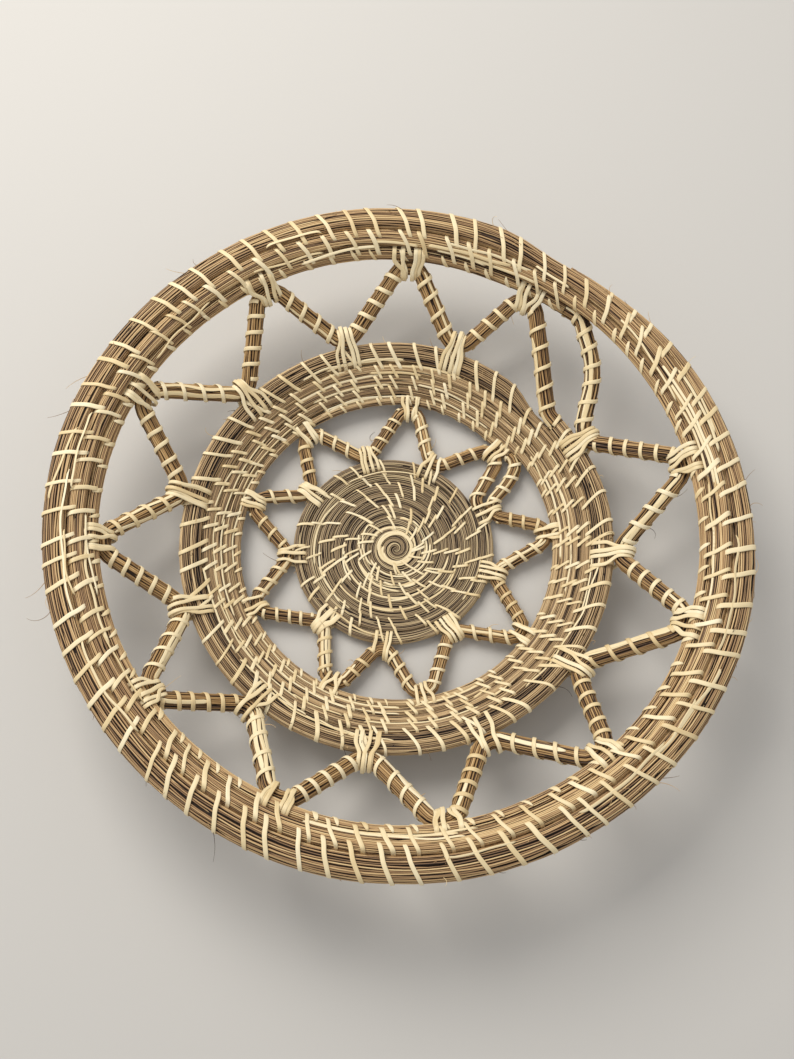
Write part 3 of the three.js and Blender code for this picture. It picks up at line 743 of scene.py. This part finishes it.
def bendSeats(work, coil, angles, slope, last):
    # seat of each bend beside the nearest row at its angle
    angles = np.array(angles, float)
    turns = (np.floor((coil["endAngle"] - angles) / 360) if last
             else np.ceil((coil["startAngle"] - angles) / 360))
    onCoil = angles + 360 * turns
    radius, height, tilt = coil["profile"](rowMiddle(coil, onCoil))
    radius = radius + bulgeAt(coil, onCoil)
    wide, thick = rowHalves(coil, onCoil)
    slope = np.radians(slope)
    away = np.hypot(wide * np.cos(slope - tilt), thick * np.sin(slope - tilt))
    away = away + fit["seatGap"] + work["radius"]
    r, z = radius + away * np.cos(slope), height + away * np.sin(slope)
    seats = np.stack([*polar(r, np.radians(angles)), z], -1)
    return {"angle": angles, "onCoil": onCoil, "row": np.stack([radius, height], -1), "tilt": tilt,
            "seat": np.stack([r, z], -1), "point": seats, "coil": coil}


def headingAt(coil, angle):
    return unit(place(coil, angle + 0.5) - place(coil, angle - 0.5))


def layOpenwork(work, fromCoil, toCoil):
    out = bendSeats(work, fromCoil, work["out"], work["outSlope"], True)
    home = bendSeats(work, toCoil, work["home"], work["homeSlope"], False)
    leave = headingAt(fromCoil, fromCoil["endAngle"] - 0.5)
    arrive = headingAt(toCoil, toCoil["startAngle"] + 0.5)
    start = place(fromCoil, fromCoil["endAngle"]) + leave * fit["endGap"]
    end = place(toCoil, toCoil["startAngle"]) - arrive * fit["endGap"]
    order = np.argsort(np.concatenate([out["angle"], home["angle"]]))
    points = np.concatenate([out["point"], home["point"]])[order]
    line, length, crowns, bends = zigzagLine(start, start + leave * work["lead"], list(points),
                                             end - arrive * work["lead"], end, work["bend"])
    even = np.linspace(0, length[-1], int(length[-1] / 3.2))
    path = readAt(even, length, line)
    # the last length isn't straight: it bows to the side before it runs into the first row
    share = np.clip((even - crowns[-2] - 5) / (length[-1] - crowns[-2] - 5), 0, 1)
    chord = unit(line[-1] - bends[-1]["crown"])
    path += work["bow"] * (np.sin(np.pi * share ** 0.9) ** 2)[:, None] * unit(np.cross(chord, [0, 0, 1]))
    back, many = np.argsort(order), len(out["angle"])
    out["bends"], home["bends"] = ([bends[i] for i in half] for half in (back[:many], back[many:]))
    work.update(path=path, length=even, crowns=crowns, seatsOut=out, seatsHome=home, isOut=order < many)
    ahead = unit(np.gradient(path, axis=0))
    outAxis = unit(path * [1, 1, 0])
    tilt = np.radians(work["slope"])
    above = np.concatenate([-np.sin(tilt) * outAxis[:, :2], np.full((len(path), 1), np.cos(tilt))], 1)
    above = unit(above - (above * ahead).sum(-1, keepdims=True) * ahead)
    work.update(ahead=ahead, above=above, beside=np.cross(ahead, above))


layOpenwork(innerWork, baseCoil, bandCoil)
layOpenwork(outerWork, bandCoil, rimCoil)


def workPlace(work, length, side, up):
    # point beside the bent bundle at a length along it
    path, beside, above = (readAt(length, work["length"], work[part]) for part in ("path", "beside", "above"))
    return path + side[..., None] * beside + up[..., None] * above


def workStems(name, work, values, seed, replaced):
    rng = np.random.default_rng(seed)
    length = work["length"]
    section = bundleSection(rng, length, values, lambda around: (around, work["halfWidth"]))

    def placed(side, up):
        return workPlace(work, length[None, :, None], side, up)

    putStems(name, placed, length, section, grass["strut"], "openwork_grass", replaced)
    # the bundle's filling, painted dark as the shade seen between its stems
    rings = placed(*polar(work["halfWidth"] - 0.65, np.pi - 2 * np.pi * np.arange(8) / 8))
    putMesh(name.replace("Stems", "ShadeHeart"), [(rings, 0.0, 0.0, 0.5)], shadeHeart, "openwork_grass")


innerStemValues = {"stems": 22, "stemRadius": 0.5, "wander": 0.5, "uneven": 0.16, "lay": 0.006}
outerStemValues = {"stems": 25, "stemRadius": 0.56, "wander": 0.5, "uneven": 0.18, "lay": 0.005}
workStems("innerStems", innerWork, innerStemValues, 14, ["inner_openwork"])
workStems("outerStems", outerWork, outerStemValues, 15, ["outer_openwork"])


# of lengths strapped with wide strips laid along them, and of bare ones: distance between loops
# as a share of pitch, slant, how far the loops stand off, and the share of the length laid over
wrapKinds = {
    True: {"apart": 1.12, "skew": 0.25, "proud": 0.55, "span": (0.7, 1.0)},
    False: {"apart": 0.92, "skew": 0.6, "proud": 0.35, "span": (0.3, 0.6)},
}


def wrapStruts(name, work, values, seed):
    # a strip wound round each straight length; the lengths that start at the lower band are strapped
    rng = np.random.default_rng(seed)
    crowns = work["crowns"]
    begin, stop = crowns[:-1] + values["clear"], crowns[1:] - values["clear"]
    begin[0], stop[-1] = 0.3, work["length"][-1] - 0.3
    lengths = list(zip(begin, stop, [True, *work["isOut"]]))
    groups = []
    for a, b, strapped in lengths:
        kind = wrapKinds[strapped]
        loops = max(1, round((b - a) / (values["pitch"] * kind["apart"])))
        share = np.linspace(0, 1, 18 * loops + 1)
        even = 2 * np.pi * loops * share + rng.uniform(0, 6)
        # a loop runs nearly square across the front and makes its way along behind
        skew = kind["skew"] * np.sin(even - values["front"])
        length = a + (b - a) * np.clip(share + skew / (2 * np.pi * loops), 0, 1)
        length = length + values["wobble"] * slowNoise(rng, 1, share * (b - a), 25)[0]
        path = workPlace(work, length, *polar(work["halfWidth"] + kind["proud"], -even))[None]
        ahead = readAt(length, work["length"], work["ahead"])
        groups.append(stripGroup(rng, path, ahead, rng.normal(values["width"], 0.12), 0.7))
    share = np.linspace(0, 1, 24)
    for a, b, strapped in lengths:
        laid = rng.integers(1, 4) if strapped else int(rng.random() < 0.35)
        for n in range(laid):
            length = a - 4 + (b - a + 8) * rng.uniform(*wrapKinds[strapped]["span"]) * share
            facing = rng.uniform(0.9, 2.3) + 0.16 * slowNoise(rng, 1, length, 40)[0]
            reach = work["halfWidth"] + 0.1 + 0.12 * n
            path, beside = (workPlace(work, length, *polar(reach, facing - off))[None] for off in (0, 0.1))
            width = pointedWidth(np.array([rng.uniform(*values["laidWidths"])]), 24, 0.08)
            groups.append(stripGroup(rng, path, -unit(beside - path), width, 0.4))
    putMesh(name, groups, stripLeaf, "leaf_strip")


innerWrapValues = {"pitch": 8.4, "clear": 6.0, "width": 1.9, "wobble": 0.4, "front": 1.6,
                   "laidWidths": (1.1, 1.9)}
outerWrapValues = {"pitch": 9.6, "clear": 7.5, "width": 2.3, "wobble": 0.5, "front": 1.6,
                   "laidWidths": (1.5, 2.6)}
wrapStruts("innerWraps", innerWork, innerWrapValues, 41)
wrapStruts("outerWraps", outerWork, outerWrapValues, 42)


# Lashings: a few turns of strip round a row and the bend against it, fanned out on the row

def lashLoop(halves, tilt, bendReach, away, apart):
    # Tight loop round a row's outline and the bend's round beside it, from the row's middle: for
    # each facing the point that reaches furthest. The row's outline has a power of 3 here.
    facing = np.linspace(0, 2 * np.pi, 361)[:-1]
    c, s = np.cos(facing - tilt), np.sin(facing - tilt)
    a, b = np.where(c > 0, halves[1], halves[0]), halves[2]
    total = np.abs(a * c) ** 1.5 + np.abs(b * s) ** 1.5
    x = a * np.sign(c) * np.sqrt(np.abs(a * c)) / total ** (1 / 3)
    y = b * np.sign(s) * np.sqrt(np.abs(b * s)) / total ** (1 / 3)
    onRow = np.stack([x * np.cos(tilt) - y * np.sin(tilt), x * np.sin(tilt) + y * np.cos(tilt)], -1)
    onBend = np.stack(polar(bendReach, facing), -1) + polar(apart, away)
    bendLeads = bendReach + apart * np.cos(facing - away) > total ** (2 / 3)
    loop = np.where(bendLeads[:, None], onBend, onRow)
    closed = np.concatenate([loop, loop[:1]])
    run = runAlong(closed)
    return readAt(np.linspace(0, run[-1], 41)[:-1], run, closed)


def lashBends(name, work, seats, values, seed, replaced):
    rng = np.random.default_rng(seed)
    coil = seats["coil"]
    groups = []
    for k, bend in enumerate(seats["bends"]):
        row, angle = seats["row"][k], seats["angle"][k]
        outward = np.array([*polar(1, np.radians(angle)), 0])
        aside = np.array([-outward[1], outward[0], 0])
        inBend = np.array([bend["inward"] @ outward, bend["inward"][2]])
        legs = seats["seat"][k] - row + inBend * values["slack"]
        away, apart = np.arctan2(legs[1], legs[0]), np.hypot(*legs)
        halves = [v + values["lift"] for v in dressed(coil, seats["onCoil"][k])]
        loop = lashLoop(halves, seats["tilt"][k], work["halfWidth"] + values["lift"], away, apart)
        onBend = smooth(loop @ [np.cos(away), np.sin(away)], 0.2 * apart, apart)
        strands = rng.integers(*values["strands"], endpoint=True)
        fan = np.linspace(-1, 1, strands)
        fan = np.sign(fan) * (values["parted"] + (1 - values["parted"]) * np.abs(fan))
        far = values["farSpread"] * (fan + rng.normal(0, 0.16, strands))
        near = values["nearSpread"] * (fan + rng.normal(0, 0.24, strands))
        for n in range(strands):
            off = far[n] + (near[n] - far[n]) * onBend
            layer = 1 + 0.05 * (n % 3)
            out = row[0] * np.cos(off / row[0]) + layer * loop[:, 0]
            path = out[:, None] * outward + off[:, None] * aside
            path[:, 2] = np.maximum(row[1] + layer * loop[:, 1], lowest["line"])
            start = np.argmin(loop @ [0.3, 1]) + rng.integers(-2, 3)  # ends tucked in below
            path = np.roll(path, -start, 0)
            path = np.concatenate([path, path[:2]])[None]
            groups.append(stripGroup(rng, path, -aside, rng.normal(values["width"], 0.15), 0.7))
    putMesh(name, groups, stripLeaf, "leaf_strip", replaced)


# parted: how far the strands keep out of the middle, so that they make two groups
rimLashValues = {"parted": 0.45, "strands": (5, 6), "nearSpread": 4.6, "farSpread": 7.0,
                 "width": 2.3, "slack": 1.6, "lift": 0.5}
bandOuterLashValues = {"parted": 0.15, "strands": (3, 5), "nearSpread": 3.4, "farSpread": 5.4,
                       "width": 2.2, "slack": 1.6, "lift": 0.5}
bandInnerLashValues = {"parted": 0.35, "strands": (3, 4), "nearSpread": 3.0, "farSpread": 4.4,
                       "width": 1.9, "slack": 1.4, "lift": 0.4}
baseLashValues = {"parted": 0.15, "strands": (3, 5), "nearSpread": 2.8, "farSpread": 4.4,
                  "width": 1.9, "slack": 1.4, "lift": 0.4}
for name, node, work, side, values, seed in (
        ("rimLashings", "rim_lashing", outerWork, "seatsHome", rimLashValues, 51),
        ("bandOuterLashings", "band_outer_lashing", outerWork, "seatsOut", bandOuterLashValues, 52),
        ("bandInnerLashings", "band_inner_lashing", innerWork, "seatsHome", bandInnerLashValues, 53),
        ("baseLashings", "base_lashing", innerWork, "seatsOut", baseLashValues, 54)):
    nodes = [f"{node}_{i + 1:02d}" for i in range(len(work[side]["angle"]))]
    lashBends(name, work, work[side], values, seed, nodes)


# Stray fibres that stand off the bundles, hair thin and curled

fibreValues = {"count": 190, "reach": (3, 9), "stretch": [0.7, 1.0, 1.8], "curl": (0.4, 2.4),
               "thick": 0.2, "taper": 0.12}


def strayFibres(name, values, seed):
    rng = np.random.default_rng(seed)
    count, starts, outs = values["count"], [], []
    for coil, share in ((rimCoil, 0.45), (bandCoil, 0.25), (baseCoil, 0.08)):
        n = int(count * share)
        angle = rng.uniform(coil["endAngle"] - 355, coil["endAngle"], n)
        facing = rng.uniform(-0.3, 2.4, n)
        across, up = polar(1, facing)
        starts.append(shares(coil, angle, 0 * angle, 0.95 * across, 0.95 * up))
        outs.append(unit(shares(coil, angle + 2, 0 * angle, 2 * across, 2 * up) - starts[-1]))
    for work, share in ((outerWork, 0.16), (innerWork, 0.06)):
        n = int(count * share)
        length = rng.uniform(0, work["length"][-1], n)
        facing = rng.uniform(0, 2 * np.pi, n)
        reach = 0.95 * work["halfWidth"]
        starts.append(workPlace(work, length, *polar(reach, facing)))
        off = workPlace(work, length + 3, *polar(3 * reach, facing))
        outs.append(unit(off - starts[-1]))
    start, out = np.concatenate(starts), np.concatenate(outs)
    run, many = np.linspace(0, 1, 12), (len(start), 1)
    reach = rng.uniform(*values["reach"], many) * rng.choice(values["stretch"], many)
    sides = unit(np.cross(out, rng.normal(size=out.shape)))
    bend = rng.uniform(*values["curl"], many) * run
    path = (start[:, None] + out[:, None] * (reach * np.sin(bend + 1e-6) / (bend[:, -1:] + 1e-6))[..., None]
            + sides[:, None] * (reach * (1 - np.cos(bend)) / (bend[:, -1:] + 1e-6))[..., None])
    turned = 2 * np.pi * np.arange(3) / 3
    ahead = unit(np.gradient(path, axis=1))
    wide = unit(np.cross(ahead, [0.2, 0.3, 1]))
    high = np.cross(ahead, wide)
    thick = (values["thick"] - values["taper"] * run)[None, :, None, None]
    rings = (path[:, :, None] + thick * (np.cos(turned)[:, None] * wide[:, :, None]
                                         + np.sin(turned)[:, None] * high[:, :, None]))
    rings[..., 2] = np.maximum(rings[..., 2], lowest["fibre"])
    toneAndShade = rng.random((len(start), 1, 1))
    putMesh(name, [(rings, (reach * run)[..., None], 0.0, toneAndShade)], grass["rim"], "rim_grass")


strayFibres("strayFibres", fibreValues, 61)


# Stage: pale floor, soft light, camera where the photograph was taken from

floorMaterial, _ = newMaterial("palePaper", Base_Color=linear("#cbc8c3"), Roughness=0.9)
floorMesh = bpy.data.meshes.new("floor")
floorMesh.from_pydata([(-4, -4, 0), (4, -4, 0), (4, 4, 0), (-4, 4, 0)], [], [(0, 1, 2, 3)])
floorMesh.materials.append(floorMaterial)
floor = addObject("floor", floorMesh)

light = {"sky": 0.56, "keyPower": 17.5, "keySize": 0.9, "keyPlace": (-0.55, 0.75, 1.15)}
world = bpy.data.worlds.new("studio")
bpy.context.scene.world = world
world.use_nodes = True
background = world.node_tree.nodes["Background"].inputs
background["Color"].default_value, background["Strength"].default_value = (1, 1, 1, 1), light["sky"]
lamp = bpy.data.lights.new("softbox", "AREA")
lamp.energy, lamp.size, lamp.color = light["keyPower"], light["keySize"], (1.0, 0.97, 0.92)
softbox = addObject("softbox", lamp)
softbox.location = light["keyPlace"]
softbox.rotation_euler = (-softbox.location.copy()).to_track_quat("-Z", "Y").to_euler()

view = {"place": (0.0007, -0.2118, 0.6871), "tilt": 18.125, "lens": 41.83}
lens = bpy.data.cameras.new("camera")
lens.lens, lens.sensor_fit, lens.sensor_height = view["lens"], "VERTICAL", 36
camera = addObject("camera", lens)
camera.location = view["place"]
camera.rotation_euler = (np.radians(view["tilt"]), 0, 0)
bpy.context.scene.camera = camera
bpy.context.scene.view_settings.view_transform = "Standard"
print("stage set")
